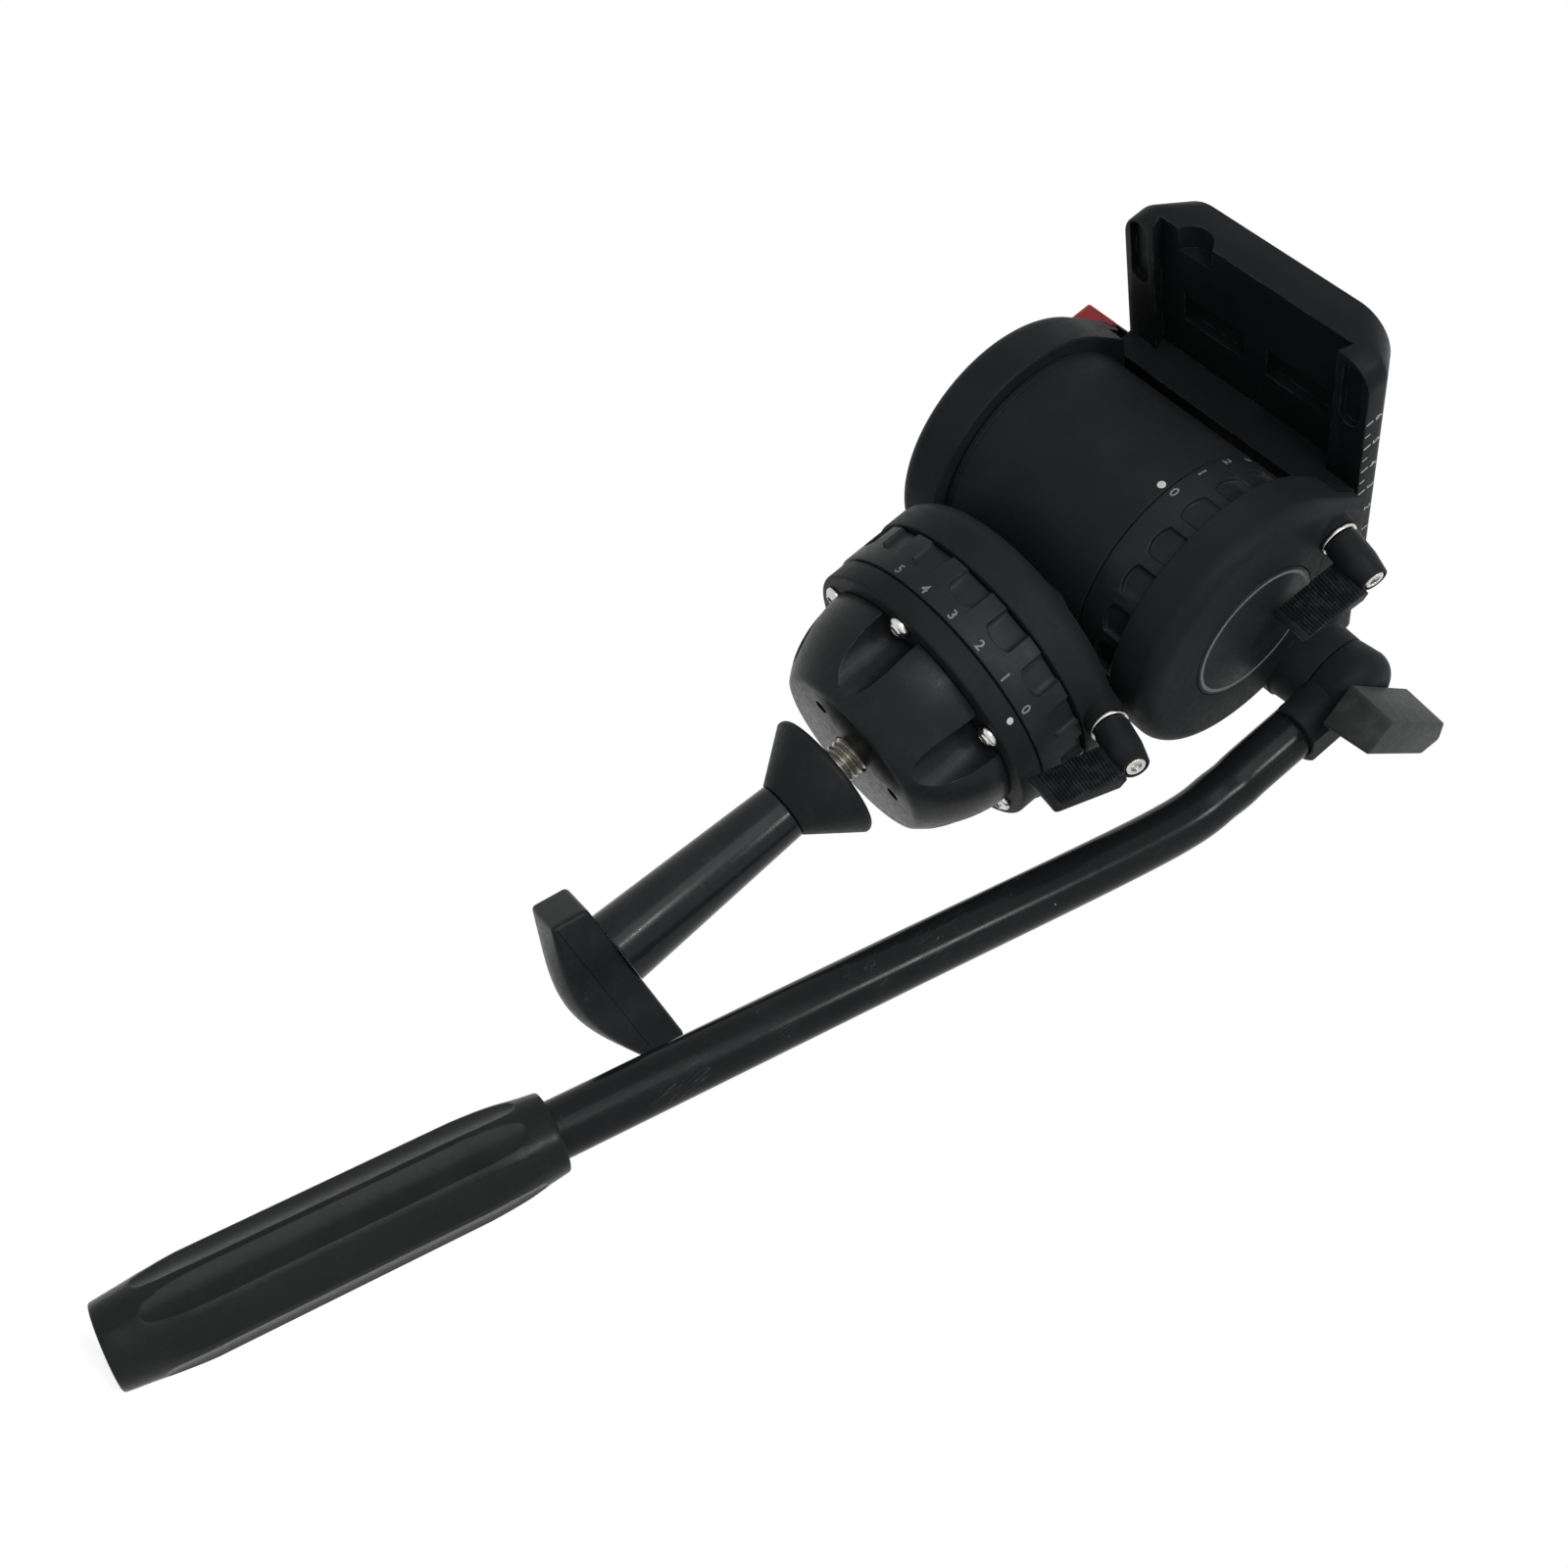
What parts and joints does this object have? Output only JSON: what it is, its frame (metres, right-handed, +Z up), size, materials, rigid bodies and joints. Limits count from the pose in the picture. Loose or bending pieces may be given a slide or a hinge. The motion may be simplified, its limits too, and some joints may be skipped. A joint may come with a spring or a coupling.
{
  "type": "fluid video head",
  "caption": "Fluid pan and tilt head for a 75 mm bowl: half ball with tie-down, numbered drag rings, brake levers, sliding camera plate and a folded pan bar.",
  "frame": {"origin": "centre of the half ball, on the pan axis at the underside of the fixed flange", "axes": "+Z up along the pan axis, +X along the tilt axis towards the brake levers and the pan bar, -Y towards the index dots, +Y towards the operator"},
  "size_m": [0.1645, 0.1221, 0.4106],
  "materials": {
    "bar_bracket": "satin dark grey paint",
    "bar_grip": "moulded rubber",
    "barrel_end_cover": "black anodised aluminium",
    "base_flange": "fine satin black paint on a casting",
    "camera_screw_large": "bright turned steel",
    "camera_screw_small": "bright turned steel",
    "clamp_bolt": "zinc plated steel",
    "clamp_cone": "moulded dark grey plastic",
    "clamp_handle": "moulded mid grey plastic",
    "clamp_stud": "zinc plated steel",
    "counterbalance_spring": "oiled spring steel",
    "flange_screw_1": "bright turned steel",
    "flange_screw_2": "bright turned steel",
    "flange_screw_3": "bright turned steel",
    "flange_screw_4": "bright turned steel",
    "flange_screw_5": "bright turned steel",
    "flange_screw_6": "bright turned steel",
    "half_ball": "moulded dark grey plastic",
    "left_cheek": "fine satin black paint on a casting",
    "left_cheek_disc": "moulded dark grey plastic",
    "level_cell": "clear acrylic with green liquid",
    "level_cup": "black anodised aluminium",
    "pan_axle": "bright turned steel",
    "pan_axle_nut": "zinc plated steel",
    "pan_bar": "gloss black painted tube, scratched",
    "pan_bearing": "bright turned steel",
    "pan_brake_lever": "moulded dark grey plastic",
    "pan_brake_spindle": "zinc plated steel",
    "pan_brake_washer": "bright turned steel",
    "pan_damper_cup": "moulded dark grey plastic",
    "pan_damper_rotor": "moulded dark grey plastic",
    "pan_drag_ring": "fine satin black paint on a casting",
    "pan_housing": "fine satin black paint on a casting",
    "plate_lock_lever": "moulded dark grey plastic",
    "plate_lock_spindle": "zinc plated steel",
    "plate_lock_washer": "bright turned steel",
    "plate_pad_left": "moulded rubber",
    "plate_pad_right": "moulded rubber",
    "platform": "fine satin black paint on a casting",
    "platform_screw_1": "black oxide steel",
    "platform_screw_2": "black oxide steel",
    "platform_screw_3": "black oxide steel",
    "platform_screw_4": "black oxide steel",
    "release_button": "red plastic",
    "right_cheek": "fine satin black paint on a casting",
    "right_cheek_disc": "moulded dark grey plastic",
    "sliding_plate": "black anodised aluminium",
    "spring_drum": "moulded dark grey plastic",
    "tie_down_lever": "moulded dark grey plastic",
    "tie_down_stem": "moulded dark grey plastic",
    "tilt_axle": "bright turned steel",
    "tilt_bearing_left": "bright turned steel",
    "tilt_bearing_right": "bright turned steel",
    "tilt_brake_lever": "moulded dark grey plastic",
    "tilt_brake_spindle": "zinc plated steel",
    "tilt_brake_washer": "bright turned steel",
    "tilt_damper_cup": "moulded dark grey plastic",
    "tilt_damper_rotor": "moulded dark grey plastic",
    "tilt_drag_ring": "fine satin black paint on a casting"
  },
  "bodies": {
    "bar": {"bar_bracket": "bar_bracket", "bar_grip": "bar_grip", "pan_bar": "pan_bar"},
    "pan": {"barrel_end_cover": "barrel_end_cover", "level_cell": "level_cell", "level_cup": "level_cup", "pan_bearing": "pan_bearing", "pan_damper_rotor": "pan_damper_rotor", "pan_housing": "pan_housing", "tilt_bearing_left": "tilt_bearing_left", "tilt_bearing_right": "tilt_bearing_right", "tilt_damper_cup": "tilt_damper_cup"},
    "base": {"base_flange": "base_flange", "clamp_stud": "clamp_stud", "flange_screw_1": "flange_screw_1", "flange_screw_2": "flange_screw_2", "flange_screw_3": "flange_screw_3", "flange_screw_4": "flange_screw_4", "flange_screw_5": "flange_screw_5", "flange_screw_6": "flange_screw_6", "half_ball": "half_ball", "pan_axle": "pan_axle", "pan_axle_nut": "pan_axle_nut", "pan_damper_cup": "pan_damper_cup"},
    "large_screw": {"camera_screw_large": "camera_screw_large"},
    "small_screw": {"camera_screw_small": "camera_screw_small"},
    "bar_clamp": {"clamp_bolt": "clamp_bolt", "clamp_handle": "clamp_handle"},
    "tie_clamp": {"clamp_cone": "clamp_cone"},
    "tilt": {"counterbalance_spring": "counterbalance_spring", "left_cheek": "left_cheek", "left_cheek_disc": "left_cheek_disc", "platform": "platform", "platform_screw_1": "platform_screw_1", "platform_screw_2": "platform_screw_2", "platform_screw_3": "platform_screw_3", "platform_screw_4": "platform_screw_4", "right_cheek": "right_cheek", "right_cheek_disc": "right_cheek_disc", "spring_drum": "spring_drum", "tilt_axle": "tilt_axle", "tilt_damper_rotor": "tilt_damper_rotor"},
    "pan_brake": {"pan_brake_lever": "pan_brake_lever", "pan_brake_spindle": "pan_brake_spindle", "pan_brake_washer": "pan_brake_washer"},
    "pan_drag": {"pan_drag_ring": "pan_drag_ring"},
    "plate_lock": {"plate_lock_lever": "plate_lock_lever", "plate_lock_spindle": "plate_lock_spindle", "plate_lock_washer": "plate_lock_washer"},
    "plate": {"plate_pad_left": "plate_pad_left", "plate_pad_right": "plate_pad_right", "sliding_plate": "sliding_plate"},
    "release": {"release_button": "release_button"},
    "tie_handle": {"tie_down_lever": "tie_down_lever", "tie_down_stem": "tie_down_stem"},
    "tilt_brake": {"tilt_brake_lever": "tilt_brake_lever", "tilt_brake_spindle": "tilt_brake_spindle", "tilt_brake_washer": "tilt_brake_washer"},
    "tilt_drag": {"tilt_drag_ring": "tilt_drag_ring"}
  },
  "joints": [
    {"name": "pan_turn", "type": "hinge", "parent": "base", "child": "pan", "pos_m": [0, 0, 0.0227], "axis": [0, 0, 1], "continuous": true},
    {"name": "pan_drag_turn", "type": "hinge", "parent": "base", "child": "pan_drag", "pos_m": [0, 0, 0.0076], "axis": [0, 0, 1], "range_deg": [0, 72]},
    {"name": "pan_brake_turn", "type": "hinge", "parent": "pan", "child": "pan_brake", "pos_m": [0.049, -0.0086, 0.0273], "axis": [0.947, -0.1331, -0.2924], "range_deg": [-60, 10]},
    {"name": "tilt_turn", "type": "hinge", "parent": "pan", "child": "tilt", "pos_m": [0, 0, 0.0792], "axis": [1, 0, 0], "range_deg": [-18, 90]},
    {"name": "tilt_drag_turn", "type": "hinge", "parent": "pan", "child": "tilt_drag", "pos_m": [0.0192, 0, 0.0792], "axis": [1, 0, 0], "range_deg": [0, 80]},
    {"name": "tilt_brake_turn", "type": "hinge", "parent": "tilt", "child": "tilt_brake", "pos_m": [0.0536, -0.0149, 0.1089], "axis": [0.9795, 0.0857, -0.1822], "range_deg": [-60, 20]},
    {"name": "plate_slide", "type": "slide", "parent": "tilt", "child": "plate", "axis": [0, 1, 0], "range_m": [-0.015, 0.05]},
    {"name": "plate_lock_turn", "type": "hinge", "parent": "tilt", "child": "plate_lock", "pos_m": [-0.0562, 0.022, 0.1112], "axis": [-1, 0, 0], "range_deg": [-70, 20]},
    {"name": "release_press", "type": "slide", "parent": "tilt", "child": "release", "axis": [1, 0, 0], "range_m": [0, 0.003], "stiffness_N_per_m": 800, "springref_m": -0.002},
    {"name": "large_screw_turn", "type": "hinge", "parent": "plate", "child": "large_screw", "pos_m": [0, -0.004, 0.1297], "axis": [0, 0, 1], "continuous": true},
    {"name": "small_screw_turn", "type": "hinge", "parent": "plate", "child": "small_screw", "pos_m": [0, 0.02, 0.1297], "axis": [0, 0, 1], "continuous": true},
    {"name": "bar_swing", "type": "hinge", "parent": "tilt", "child": "bar", "pos_m": [0.0618, 0.0375, 0.1007], "axis": [1, 0, 0], "range_deg": [0, 150]},
    {"name": "bar_clamp_turn", "type": "hinge", "parent": "tilt", "child": "bar_clamp", "pos_m": [0.076, 0.0375, 0.1007], "axis": [1, 0, 0], "range_deg": [-90, 180]},
    {"name": "tie_clamp_slide", "type": "slide", "parent": "base", "child": "tie_clamp", "axis": [0, 0, 1], "range_m": [0, 0.007]},
    {"name": "tie_handle_turn", "type": "hinge", "parent": "tie_clamp", "child": "tie_handle", "pos_m": [0, 0, -0.051], "axis": [0, 0, 1], "range_deg": [0, 1440]}
  ],
  "couplings": [
    {"joint": "tie_handle_turn", "follows": "tie_clamp_slide", "rad_per_m": 3590.4}
  ]
}
